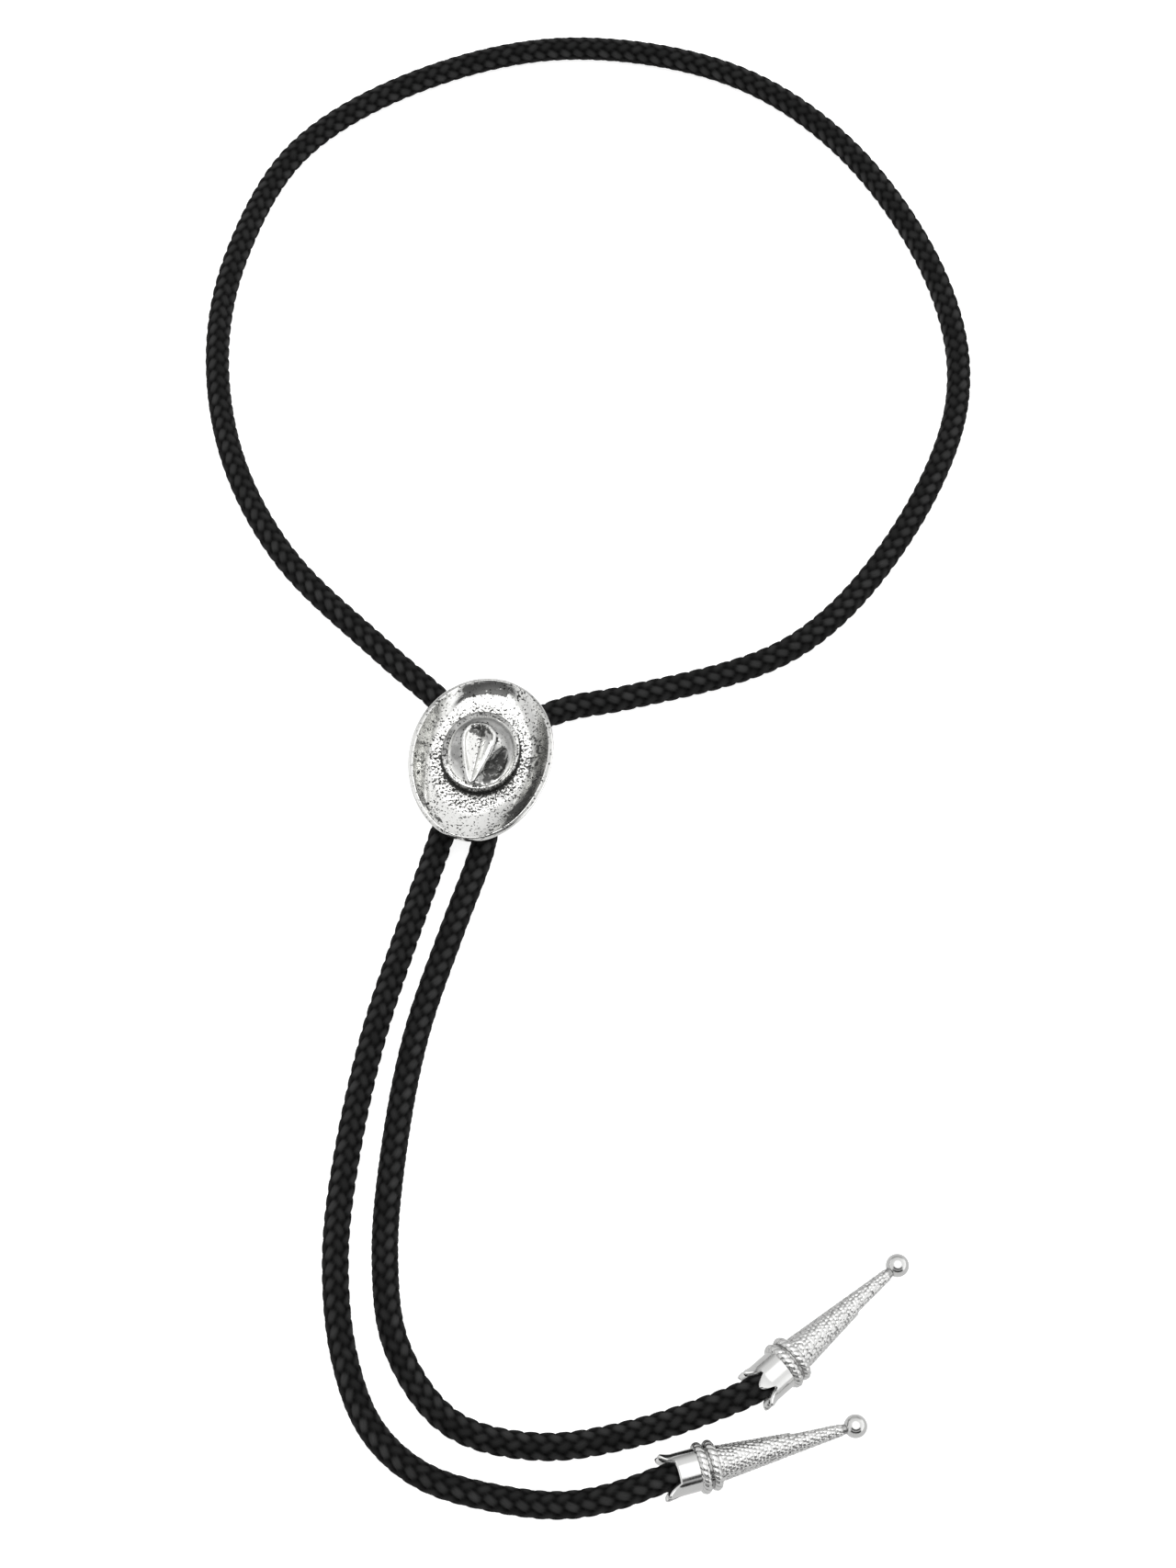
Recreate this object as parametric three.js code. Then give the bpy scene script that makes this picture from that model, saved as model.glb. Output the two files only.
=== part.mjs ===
// A bolo tie laid out on a flat surface: a braided neck cord, a hat-shaped cast slide,
// the hidden clip under the slide, and a cast tip on each end of the cord.
// Millimetres, +Z up. X runs to the right and Y away from the viewer. The origin is on
// the surface, under the hat and within 1 mm of its middle. The hat's front points
// towards the tips.

import * as THREE from 'three';
import { mergeVertices } from 'three/addons/utils/BufferGeometryUtils.js';

// Cord
const cordDiameter = 5.5;
const cordRadius = cordDiameter / 2;
const cordSides = 10;
const longestCordStep = 3 * cordDiameter;
const fitClearance = 0.3;

// Clip under the hat: a block with two round channels along the hat's length
const channelHalfSpacing = 4.2;
const clipWall = 0.9;
const clipFront = -9;
const clipBack = 3;
const clipCornerRadius = 3.2;
const channelRadius = cordRadius + fitClearance;
const channelHeight = clipWall + channelRadius;
const clipHeight = 2 * channelHeight;
const clipWidth = 2 * (channelHalfSpacing + channelRadius + clipWall);

// Hat slide, with its length along +Y before it is turned. The rim's width and length
// are measured to the middle of its thickness.
const hatTurn = THREE.MathUtils.degToRad(-12);
const hatOffset = { x: 0.6, y: -0.4 };
const rimWidth = 29.3;
const rimLength = 37.7;
const brimThickness = 1.3;
const rimRounding = 0.15;
const rollStart = 0.3;
const sideRoll = 4.2;
const backRoll = 2.6;
const frontRoll = 1.4;

// Crown, with its centre measured from the middle of the brim. It slopes down to the
// front, and its band is wider at the back and the left.
const crownCentre = { x: 0.1, y: 0.95 };
const crownWidth = 14.7;
const crownLength = 16;
const crownHeight = 7;
const crownFrontHeight = 3.7;
const crownSquareness = 5;
const bandHeight = 2.4;
const bandLeft = 1.4;
const bandRight = 0.3;
const bandBack = 1.9;
const bandFront = 0.6;
const bandRounding = 0.25;
const hollowWidth = 11.4;
const hollowLength = 12.6;
const hollowHeight = 3.4;
const hatSides = 48;

// Drop-shaped crease and two pinches, as shares of the crown's width, length and height
const crease = { x: -0.06, front: -0.5, back: 0.26, halfWidth: 0.213, depth: 0.29 };
const dropWidestShare = 0.75;
const pinches = [
  { x: 0.235, y: -0.25, depth: 0.27, halfLength: 0.29, halfWidth: 0.135, lean: 68 },
  { x: -0.34, y: -0.21, depth: 0.09, halfLength: 0.27, halfWidth: 0.12, lean: -64 },
];

// Tips, measured along the axis from the prong ends to the end of the ball
const tipLength = 42;
const prongPlaces = 6;
const prongCount = 5;
const prongLength = 2.8;
const prongHalfAngle = THREE.MathUtils.degToRad(26);
const prongRounding = 1.6;
const prongFlare = 0.95;
const prongRoot = 0.5;
const boreRadius = cordRadius + fitClearance;
const sleeveRadius = 4.15;
const cordInsertion = 8;
const boreDepth = cordInsertion + fitClearance;
const ringWireRadius = 1;
const ringGap = 0.2;
const firstRingCentre = 8.05;
const firstRingRadius = 5.05;
const secondRingRadius = 4.95;
const ropeRings = [
  { centre: firstRingCentre, radius: firstRingRadius },
  { centre: firstRingCentre + 2 * ringWireRadius + ringGap, radius: secondRingRadius },
];
const coneStart = ropeRings[1].centre + ringWireRadius;
const coneStartRadius = 3.4;
const coneEndRadius = 0.95;
const ballRadius = 2.3;
const tipSides = 36;
const ballCentre = tipLength - ballRadius;

// Each tip lies on its first ring and its ball, so its axis slopes down to the ball
const tipSlope = Math.asin((ropeRings[0].radius - ballRadius) / (ballCentre - ropeRings[0].centre));
const mouthHeight = ropeRings[0].radius + ropeRings[0].centre * Math.sin(tipSlope);
const tips = {
  left: { mouthX: 37.3, mouthY: -152.5, heading: 16.3, roll: 157 },
  right: { mouthX: 55.5, mouthY: -135.6, heading: 42.1, roll: -20 },
};

// Where the cord is held straight: depths in a tip, and places along the clip
const heldDepths = [cordInsertion, 4.6, 1.5];
const heldPlaces = [clipFront, (clipFront + clipBack) / 2, clipBack];

// The free cord's route, as [x, y, height of its centre]
const leftTail = [
  [28.5, -155.8, 5.7], [19.0, -157.2, 4.1], [8.0, -156.0, 2.8], [-8.5, -151.4, 2.75],
  [-18.8, -142.4, 2.75], [-24.8, -127.5, 2.75], [-27.2, -107.0, 2.75], [-25.6, -86.0, 2.75],
  [-21.1, -60.6, 2.75], [-14.9, -38.2, 2.75], [-8.8, -18.0, 2.8],
];
const neckLoop = [
  [-3.7, 9.9, 3.3], [-7.2, 15.6, 2.8], [-21.2, 29.2, 2.75], [-44.3, 53.7, 2.75],
  [-57.3, 79.7, 2.75], [-62.2, 109.0, 2.75], [-58.9, 136.0, 2.75], [-46.0, 165.4, 2.75],
  [-20.0, 185.4, 2.75], [17.0, 196.3, 2.75], [57.5, 188.6, 2.75], [84.5, 166.6, 2.75],
  [104.8, 127.5, 2.75], [107.6, 95.0, 2.75], [92.0, 57.5, 2.75], [67.7, 30.5, 2.75],
  [31.0, 18.2, 2.75], [18.8, 15.7, 2.8], [9.6, 10.9, 3.3],
];
const rightTail = [
  [0.8, -18.0, 2.8], [-5.2, -36.5, 2.75], [-12.2, -60.0, 2.75], [-16.1, -84.7, 2.75],
  [-17.3, -107.8, 2.75], [-14.4, -126.0, 2.75], [-3.5, -141.0, 2.75], [14.0, -145.6, 2.75],
  [32.0, -143.0, 2.9], [47.9, -138.4, 5.4],
];

// A closed surface from rows of points: pointAt(row, angle) gives one point, and the
// first and last rows each shrink to the single point that their angle 0 gives.
function closedRows(rowCount, sideCount, pointAt) {
  const positions = [...pointAt(0, 0).toArray()];
  for (let row = 1; row < rowCount - 1; row += 1) {
    for (let side = 0; side < sideCount; side += 1) {
      positions.push(...pointAt(row, (2 * Math.PI * side) / sideCount).toArray());
    }
  }
  positions.push(...pointAt(rowCount - 1, 0).toArray());

  const lastPoint = positions.length / 3 - 1;
  const indexOf = (row, side) => 1 + (row - 1) * sideCount + (side % sideCount);
  const triangles = [];
  for (let side = 0; side < sideCount; side += 1) {
    triangles.push(0, indexOf(1, side), indexOf(1, side + 1));
    for (let row = 1; row < rowCount - 2; row += 1) {
      triangles.push(indexOf(row, side), indexOf(row + 1, side), indexOf(row + 1, side + 1));
      triangles.push(indexOf(row, side), indexOf(row + 1, side + 1), indexOf(row, side + 1));
    }
    triangles.push(indexOf(rowCount - 2, side), lastPoint, indexOf(rowCount - 2, side + 1));
  }

  const geometry = new THREE.BufferGeometry();
  geometry.setAttribute('position', new THREE.Float32BufferAttribute(positions, 3));
  geometry.setIndex(triangles);
  geometry.computeVertexNormals();
  return geometry;
}

function smoothStep(low, high, value) {
  const share = THREE.MathUtils.clamp((value - low) / (high - low), 0, 1);
  return share * share * (3 - 2 * share);
}

// The drop's outline, from 0 at its point through its widest place to 0 at its round back
function dropOutline(share) {
  return share > 0 && share < 1 ? share ** 0.8 * Math.sqrt(1 - share ** 5) : 0;
}

// Depth of the V-shaped crease, deepest where it is widest
function creaseDepthAt(x, y) {
  const front = crease.front * crownLength;
  const back = crease.back * crownLength;
  const outline = dropOutline((y - front) / (back - front)) / dropOutline(dropWidestShare);
  const aside = Math.abs(x - crease.x * crownWidth) / (crease.halfWidth * crownWidth);
  return crease.depth * crownHeight * Math.max(0, outline - aside);
}

// Depth of one leaf-shaped pinch
function pinchDepthAt(pinch, x, y) {
  const lean = THREE.MathUtils.degToRad(pinch.lean);
  const offset = new THREE.Vector2(x - pinch.x * crownWidth, y - pinch.y * crownLength);
  offset.rotateAround(new THREE.Vector2(), -lean);
  const along = offset.x / (pinch.halfLength * crownLength);
  const across = offset.y / (pinch.halfWidth * crownWidth);
  return pinch.depth * crownHeight * Math.max(0, 1 - along ** 2 - across ** 2);
}

// Height of the crown over the brim, from the crown's own centre
function crownSurface(x, y) {
  const reach = Math.min(1, Math.hypot((2 * x) / crownWidth, (2 * y) / crownLength));
  const top = THREE.MathUtils.lerp(crownFrontHeight, crownHeight, smoothStep(-0.5, 0.2, y / crownLength));
  const dome = (top - bandHeight) * Math.sqrt(1 - reach ** crownSquareness);
  let dents = creaseDepthAt(x, y);
  for (const pinch of pinches) {
    dents += pinchDepthAt(pinch, x, y);
  }
  return bandHeight + dome - dents * Math.min(1, dome / 2);
}

// How far the rolled brim has risen at a share of the way from the band to the rim,
// and how steep it is there
function brimRoll(angle, share, reach) {
  const endRoll = Math.sin(angle) > 0 ? backRoll : frontRoll;
  const sideShare = Math.cos(angle) ** 2;
  const roll = sideRoll * sideShare + endRoll * (1 - sideShare);
  const rolled = Math.max(0, share - rollStart) / (1 - rollStart);
  return { rise: roll * rolled ** 2, slope: (2 * roll * rolled) / ((1 - rollStart) * reach) };
}

// The band's outer edge: the crown's oval, widened on each side by the band
function bandEdge(angle, inwards, height) {
  const halfWidth = (crownWidth + bandLeft + bandRight) / 2 - inwards;
  const halfLength = (crownLength + bandBack + bandFront) / 2 - inwards;
  return new THREE.Vector3(
    crownCentre.x + (bandRight - bandLeft) / 2 + halfWidth * Math.cos(angle),
    crownCentre.y + (bandBack - bandFront) / 2 + halfLength * Math.sin(angle),
    height,
  );
}

// A point of the brim. It lies at a share of the way from the band to the rim, and its
// place across the thickness, from 0 underneath to 1 on top, is square to the surface.
function brimPoint(angle, share, across, beyond) {
  const point = bandEdge(angle, 0, 0);
  const rim = new THREE.Vector3((rimWidth / 2) * Math.cos(angle), (rimLength / 2) * Math.sin(angle), 0);
  const outward = rim.clone().sub(point);
  const reach = outward.length();
  outward.divideScalar(reach);
  const { rise, slope } = brimRoll(angle, share, reach);
  const steepness = Math.hypot(1, slope);
  const lift = (brimThickness * (across - 0.5)) / steepness;
  point.lerp(rim, share);
  point.addScaledVector(outward, beyond / steepness - slope * lift);
  point.z = brimThickness / 2 + rise + lift + (beyond * slope) / steepness;
  return point;
}

// The rows of the hat run from the crown's top, out over the brim, and back underneath
function hatRows() {
  const crownRow = (reach) => (angle) => {
    const x = (reach * crownWidth * Math.cos(angle)) / 2;
    const y = (reach * crownLength * Math.sin(angle)) / 2;
    return new THREE.Vector3(crownCentre.x + x, crownCentre.y + y, brimThickness + crownSurface(x, y));
  };
  const bandRow = (inwards, height) => (angle) => bandEdge(angle, inwards, brimThickness + height);
  const brimRow = (share, across, beyond = 0) => (angle) => brimPoint(angle, share, across, beyond);
  const hollowRow = (scale, height) => (angle) => new THREE.Vector3(
    crownCentre.x + (hollowWidth * scale * Math.cos(angle)) / 2,
    crownCentre.y + (hollowLength * scale * Math.sin(angle)) / 2,
    height,
  );

  const crownReaches = [0, 0.14, 0.28, 0.42, 0.56, 0.7, 0.82, 0.91, 0.97, 1];
  const brimShares = [0, 0.3, 0.45, 0.58, 0.7, 0.81, 0.91];
  return [
    ...crownReaches.map((reach) => crownRow(reach)),
    bandRow(bandRounding, bandHeight - bandRounding / 2),
    bandRow(bandRounding / 2, bandHeight - bandRounding),
    ...brimShares.map((share) => brimRow(share, 1)),
    brimRow(1, 1),
    brimRow(1, 0.8, rimRounding),
    brimRow(1, 0.2, rimRounding),
    brimRow(1, 0),
    ...[...brimShares].reverse().map((share) => brimRow(share, 0)),
    hollowRow(1, 0),
    hollowRow(0.97, hollowHeight * 0.5),
    hollowRow(0.85, hollowHeight * 0.85),
    hollowRow(0.5, hollowHeight),
    hollowRow(0, hollowHeight),
  ];
}

function buildHat() {
  const rows = hatRows();
  const geometry = closedRows(rows.length, hatSides, (row, angle) => rows[row](angle));
  const silver = new THREE.MeshStandardMaterial({ color: 0xb9bbbc, metalness: 1, roughness: 0.3 });
  const hat = new THREE.Mesh(geometry, silver);
  hat.name = 'hat_slide';
  hat.position.set(hatOffset.x, hatOffset.y, clipHeight + fitClearance);
  return hat;
}

// The clip's cross-section is drawn upright and extruded along the hat's length
function buildClip() {
  const half = clipWidth / 2;
  const corner = clipCornerRadius;
  const section = new THREE.Shape();
  section.moveTo(-half + corner, 0);
  section.lineTo(half - corner, 0);
  section.absarc(half - corner, corner, corner, -Math.PI / 2, 0);
  section.absarc(half - corner, clipHeight - corner, corner, 0, Math.PI / 2);
  section.absarc(-half + corner, clipHeight - corner, corner, Math.PI / 2, Math.PI);
  section.absarc(-half + corner, corner, corner, Math.PI, 1.5 * Math.PI);
  for (const side of [-1, 1]) {
    const channel = new THREE.Path();
    channel.absarc(side * channelHalfSpacing, channelHeight, channelRadius, 0, 2 * Math.PI, true);
    section.holes.push(channel);
  }
  const geometry = new THREE.ExtrudeGeometry(section, {
    depth: clipBack - clipFront,
    bevelEnabled: false,
    curveSegments: 12,
  });
  geometry.rotateX(Math.PI / 2);
  geometry.translate(0, clipBack, 0);
  const steel = new THREE.MeshStandardMaterial({ color: 0x9a9c9e, metalness: 1, roughness: 0.45 });
  const clip = new THREE.Mesh(geometry, steel);
  clip.name = 'cord_clip';
  return clip;
}

// The hat and its clip share one turn about the upright axis
const slide = new THREE.Group();
slide.rotation.z = hatTurn;
slide.add(buildHat(), buildClip());

// Depth of the prongs' edge: 0 at each prong's point, and deepest between the prongs.
// The mouth has one place more than it has prongs, which leaves one wide arch.
function prongEdge(angle) {
  let aside = Math.PI;
  for (let prong = 0; prong < prongCount; prong += 1) {
    const turn = THREE.MathUtils.euclideanModulo(angle - (2 * Math.PI * prong) / prongPlaces, 2 * Math.PI);
    aside = Math.min(aside, turn, 2 * Math.PI - turn);
  }
  return prongLength * Math.min(1, aside / prongHalfAngle) ** prongRounding;
}

// Outward lean of the prongs at a depth
function flareAt(depth) {
  return prongFlare * Math.max(0, 1 - depth / prongLength) ** 1.5;
}

// The rows of a tip run from the ball's end to the prongs, and back down the bore.
// A row gives the depth from the prong ends and the radius, for each angle.
function tipRows() {
  const neckAngle = Math.asin(coneEndRadius / ballRadius);
  const plainRow = (depth, radius) => () => [depth, radius];
  const ballRow = (share) => {
    const polar = share * (Math.PI - neckAngle);
    return plainRow(ballCentre + ballRadius * Math.cos(polar), ballRadius * Math.sin(polar));
  };
  const ringRow = (ring, turn) => plainRow(
    ring.centre + ringWireRadius * Math.cos(turn),
    ring.radius - ringWireRadius + ringWireRadius * Math.sin(turn),
  );
  const coneEnd = ballCentre - ballRadius * Math.cos(neckAngle);
  const coneRow = (share) => plainRow(
    THREE.MathUtils.lerp(coneEnd, coneStart, share),
    THREE.MathUtils.lerp(coneEndRadius, coneStartRadius, share),
  );
  const prongRow = (share, radius) => (angle) => {
    const depth = THREE.MathUtils.lerp(prongLength + prongRoot, prongEdge(angle), share);
    return [depth, radius + flareAt(depth)];
  };
  const ringTurns = [0.12, 0.31, 0.5, 0.69, 0.88].map((share) => share * Math.PI);
  return [
    ...[0, 0.2, 0.4, 0.6, 0.8].map((share) => ballRow(share)),
    ...[0, 0.33, 0.66, 1].map((share) => coneRow(share)),
    ...ringTurns.map((turn) => ringRow(ropeRings[1], turn)),
    ...ringTurns.map((turn) => ringRow(ropeRings[0], turn)),
    plainRow(firstRingCentre - ringWireRadius, sleeveRadius),
    ...[0, 0.5, 1].map((share) => prongRow(share, sleeveRadius)),
    ...[1, 0.5, 0].map((share) => prongRow(share, boreRadius)),
    plainRow(boreDepth, boreRadius),
    plainRow(boreDepth, 0),
  ];
}

function buildTip(name, place) {
  const rows = tipRows();
  const geometry = closedRows(rows.length, tipSides, (row, angle) => {
    const [depth, radius] = rows[row](angle);
    return new THREE.Vector3(depth, radius * Math.cos(angle), radius * Math.sin(angle));
  });
  const silver = new THREE.MeshStandardMaterial({ color: 0xc9cbcc, metalness: 1, roughness: 0.2 });
  const tip = new THREE.Mesh(geometry, silver);
  tip.name = name;
  tip.position.set(place.mouthX, place.mouthY, mouthHeight);
  tip.rotation.set(
    THREE.MathUtils.degToRad(place.roll),
    tipSlope,
    THREE.MathUtils.degToRad(place.heading),
    'ZYX',
  );
  tip.updateMatrixWorld();
  return tip;
}

const leftTip = buildTip('left_strand_tip', tips.left);
const rightTip = buildTip('right_strand_tip', tips.right);

// A route that is stepped from listed point to listed point, not by equal lengths
class SteppedRoute extends THREE.CatmullRomCurve3 {
  getPointAt(share, target) {
    return this.getPoint(share, target);
  }

  getTangentAt(share, target) {
    return this.getTangent(share, target);
  }
}

function routePoints() {
  const inTip = (tip) => heldDepths.map((depth) => tip.localToWorld(new THREE.Vector3(depth, 0, 0)));
  const inChannel = (side) => heldPlaces.map((y) => (
    new THREE.Vector3(side * channelHalfSpacing, y, channelHeight).applyEuler(slide.rotation)
  ));
  const free = (list) => list.map((point) => new THREE.Vector3(...point));
  return [
    ...inTip(leftTip),
    ...free(leftTail),
    ...inChannel(-1),
    ...free(neckLoop),
    ...inChannel(1).reverse(),
    ...free(rightTail),
    ...inTip(rightTip).reverse(),
  ];
}

function buildCord() {
  const points = routePoints();
  const route = new THREE.CatmullRomCurve3(points);
  const stations = [];
  points.slice(1).forEach((point, index) => {
    const steps = Math.ceil(point.distanceTo(points[index]) / longestCordStep);
    for (let step = 0; step < steps; step += 1) {
      stations.push(route.getPoint((index + step / steps) / (points.length - 1)));
    }
  });
  stations.push(points[points.length - 1]);
  stations.forEach((station) => {
    station.z = Math.max(station.z, cordRadius);
  });

  const section = new THREE.Shape();
  section.absarc(0, 0, cordRadius, 0, 2 * Math.PI);
  const geometry = new THREE.ExtrudeGeometry(section, {
    steps: stations.length - 1,
    curveSegments: cordSides / 2,
    extrudePath: new SteppedRoute(stations),
    bevelEnabled: false,
  });
  geometry.deleteAttribute('normal');
  geometry.deleteAttribute('uv');
  const braid = new THREE.MeshStandardMaterial({ color: 0x1b1b1b, metalness: 0, roughness: 0.75 });
  const cord = new THREE.Mesh(mergeVertices(geometry, 1e-4), braid);
  cord.geometry.computeVertexNormals();
  cord.name = 'cord';
  return cord;
}

const boloTie = new THREE.Group();
boloTie.add(slide, leftTip, rightTip, buildCord());

export default boloTie;
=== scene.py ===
# A bolo tie laid on a pale table: a braided cord, a cast hat slide with its hidden clip,
# and a cast tip on each end of the cord. Sizes are in millimetres, in the tie's frame.

import math

import bpy
import numpy as np
from mathutils import Matrix, Vector

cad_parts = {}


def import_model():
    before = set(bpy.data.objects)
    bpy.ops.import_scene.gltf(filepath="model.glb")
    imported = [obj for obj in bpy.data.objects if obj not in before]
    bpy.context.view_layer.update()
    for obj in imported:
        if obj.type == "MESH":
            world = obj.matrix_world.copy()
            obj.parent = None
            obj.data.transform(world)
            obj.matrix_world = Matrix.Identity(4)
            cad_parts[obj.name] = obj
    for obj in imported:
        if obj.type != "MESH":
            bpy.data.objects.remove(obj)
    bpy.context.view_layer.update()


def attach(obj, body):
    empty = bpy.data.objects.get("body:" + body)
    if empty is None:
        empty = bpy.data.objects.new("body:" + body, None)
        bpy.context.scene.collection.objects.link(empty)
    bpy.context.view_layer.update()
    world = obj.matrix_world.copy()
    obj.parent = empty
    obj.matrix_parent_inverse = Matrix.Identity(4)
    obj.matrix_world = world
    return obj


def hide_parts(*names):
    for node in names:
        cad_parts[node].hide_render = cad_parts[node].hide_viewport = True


MM = 0.001
CLOSE = 0.01

# Camera, as it stood for the photograph
CAMERA_AIM = (23.2, -1.2, 0.0)
CAMERA_DISTANCE = 657.0
CAMERA_ELEVATION = math.radians(64.0)
CAMERA_LENS = 70.0
CAMERA_NEAR = 10.0
SENSOR_HEIGHT = 36.0

# Studio. A sky lists (height of the direction, brightness), from the table upwards.
# The front one has the two dark bands that the metal shows.
TABLE_SIZE = 6000.0
SOFTBOX_PLACE = (-100.0, 50.0, 1100.0)
SOFTBOX_SIZE = 450.0
SOFTBOX_POWER = 1.5
LEFT_SKY = [(0.0, 1.3), (0.15, 1.1), (0.3, 0.9), (0.7, 1.0)]
RIGHT_SKY = [(0.0, 1.5), (0.2, 1.4), (0.7, 1.1)]
BACK_SKY = [(0.0, 0.35), (0.25, 0.6), (0.5, 0.95)]
FRONT_SKY = [
    (0.0, 0.03), (0.28, 0.03), (0.36, 0.6), (0.46, 0.65), (0.5, 0.05), (0.68, 0.05), (0.71, 0.8),
]
LEFT_TO_RIGHT = (-0.3, 0.45)
BACK_BLEND = (0.6, 0.85)
FRONT_BLEND = (-0.3, -0.45)
FRONT_HALF_WIDTH = [(0.65, 1.0), (0.78, 0.0)]
PANEL_DIRECTION = (0.0, -0.087, 0.996)
PANEL_EDGE = [(0.765, 0.0), (0.785, 1.0)]
PANEL_BRIGHTNESS = (1.6, 1.6, 1.6, 1.0)

# Cord
CORD_DIAMETER = 5.5
CORD_RADIUS = CORD_DIAMETER / 2
BRAID_COLUMNS = 8
BRAID_PITCH = 3.2
BRAID_RELIEF = 0.7
LUMP_SLANT = math.radians(30.0)
LUMP_LENGTH_SHARE = 0.6
LUMP_WIDTH_SHARE = 0.58
LUMP_SQUARENESS = 3
LUMP_ROUNDNESS = 0.6
TONE_LOWEST = 0.25
# Odd braid columns are painted lighter: a painted sheen for the light their yarn catches
PAINTED_SHEEN_OF_ODD_COLUMN = 0.4
TONE_CHANCE = 0.35
SIDES_PER_COLUMN = 5
RINGS_PER_PITCH = 8
STEPS_PER_STRETCH = 40
STIFFNESS_PASSES = 60

# Clip
CHANNEL_HALF_SPACING = 4.2
CLIP_WALL = 0.9
CLEARANCE = 0.3
CHANNEL_HEIGHT = CLIP_WALL + CORD_RADIUS + CLEARANCE
CLIP_HEIGHT = 2 * CHANNEL_HEIGHT
CLIP_PLACES = (-9.0, -3.0, 3.0)

# Hat slide, with its length along Y before it is turned. The rim's width and length
# are measured to the middle of its thickness.
HAT_TURN = math.radians(-12.0)
HAT_OFFSET = (0.6, -0.4)
HAT_BASE = CLIP_HEIGHT + CLEARANCE
RIM_WIDTH = 29.3
RIM_LENGTH = 37.7
BRIM_THICKNESS = 1.3
RIM_ROUNDING = 0.15
ROLL_START = 0.3
SIDE_ROLL = 4.2
BACK_ROLL = 2.6
FRONT_ROLL = 1.4
CROWN_CENTRE = (0.1, 0.95)
CROWN_WIDTH = 14.7
CROWN_LENGTH = 16.0
CROWN_HEIGHT = 7.0
CROWN_FRONT_HEIGHT = 3.7
CROWN_SQUARENESS = 5
BAND_HEIGHT = 2.4
BAND_LEFT = 1.4
BAND_RIGHT = 0.3
BAND_BACK = 1.9
BAND_FRONT = 0.6
BAND_ROUNDING = 0.25
BAND_WIDTH = 1.0
HOLLOW_WIDTH = 11.4
HOLLOW_LENGTH = 12.6
HOLLOW_HEIGHT = 3.4
HOLLOW_SQUARENESS = 3
CREASE_X = -0.06 * CROWN_WIDTH
CREASE_FRONT = -0.5 * CROWN_LENGTH
CREASE_BACK = 0.26 * CROWN_LENGTH
CREASE_HALF_WIDTH = 0.213 * CROWN_WIDTH
CREASE_DEPTH = 0.29 * CROWN_HEIGHT
DROP_WIDEST_SHARE = 0.75
RIDGE_HEIGHT = 0.45
RIDGE_WIDTH = 0.42
PINCHES = {
    "right": {"x": 0.235, "y": -0.25, "depth": 0.27, "half_length": 0.29, "half_width": 0.135, "lean": 68},
    "left": {"x": -0.34, "y": -0.21, "depth": 0.09, "half_length": 0.27, "half_width": 0.12, "lean": -64},
}
HAT_STEPS = 240
HAT_POINTS = {"crown": 64, "shoulder": 5, "band": 8, "brim": 52, "rim": 9, "back": 26, "hollow": 10}

# Painted dark reflections of the room on the brim: the sector in degrees and the shares of the brim that each
# covers
BRIM_PAINTED_REFLECTIONS = [
    {"from": 80, "to": 124, "fade": 4, "inner": 0.66, "outer": 0.97, "edge": 0.05, "strength": 1.0},
    {"from": -52, "to": -14, "fade": 10, "inner": 0.68, "outer": 0.95, "edge": 0.07, "strength": 0.9},
    {"from": -14, "to": 38, "fade": 12, "inner": 0.3, "outer": 0.8, "edge": 0.15, "strength": 0.6},
    {"from": -138, "to": -106, "fade": 8, "inner": 0.8, "outer": 0.96, "edge": 0.06, "strength": 0.7},
]

# Sectors of the film and of its painted reflections, shade and highlights as (from, to, fade) in degrees, and
# how strongly each mark shows
RIGHT_BRIM_PAINTED_REFLECTION = (-60, 60, 25)
BAND_PAINTED_HIGHLIGHT = (-70, 50, 30)
BAND_FRONT_PAINTED_HIGHLIGHT = (-150, -30, 20)
BAND_FACE_PAINTED_SHADE = (-150, -20, 20)
FOOT_REACH = 1 / 6
FOOT_SPECKS = (-0.1, 0.36, 0.2)
PATINA_AND_PAINTED_LIGHT = {
    "ridge_line": 0.6, "crease_line": 0.25, "brim_specks": 0.55, "foot_specks": 0.5, "band_specks": 0.7,
    "crown_specks": 0.35, "crease_specks": 0.1, "crease_back": 0.8, "pinch": 0.8, "brim_painted_reflection": 0.38,
    "band_painted_highlight": 0.7, "band_face_painted_shade": 0.8, "crown_film": 0.85, "crease_painted_shade": 0.6,
}

# Tips, measured along the axis from the prong ends
TIP_LENGTH = 42.0
PRONG_PLACES = 6
PRONG_COUNT = 5
PRONG_LENGTH = 2.8
PRONG_HALF_ANGLE = math.radians(26.0)
PRONG_ROUNDING = 1.6
PRONG_FLARE = 0.95
PRONG_ROOT = 0.5
PRONG_BEVEL = 0.35
PRONG_BEVEL_DEPTH = 0.3
PRONG_LIP = 0.05
PRONG_LIP_DROP = 0.1
SLEEVE_RADIUS = 4.15
BORE_RADIUS = CORD_RADIUS + CLEARANCE
BORE_DEPTH = 8.3
RING_WIRE = 1.0
RING_CENTRES = (8.05, 10.25)
RING_RADII = (5.05, 4.95)
ROPE_LUMPS = 21
ROPE_SLANT = 0.36
ROPE_DEPTH = 0.26
CONE_START = RING_CENTRES[1] + RING_WIRE
CONE_START_RADIUS = 3.4
CONE_END_RADIUS = 0.95
CONE_STEP_PLACE = 26.7
CONE_STEP_DEPTH = 0.3
CONE_STEP_SIDE = math.radians(-147.0)
BALL_RADIUS = 2.3
BALL_CENTRE = TIP_LENGTH - BALL_RADIUS
PELLET_SPACING = 0.88
PELLET_RADIUS = 0.47
PELLET_HEIGHT = 0.17
PELLET_ROW_SHARE = 0.88
PELLET_SHIFT = 0.16
PELLET_TURN = 0.17
PELLET_SIZES = (0.8, 1.1)
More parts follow.
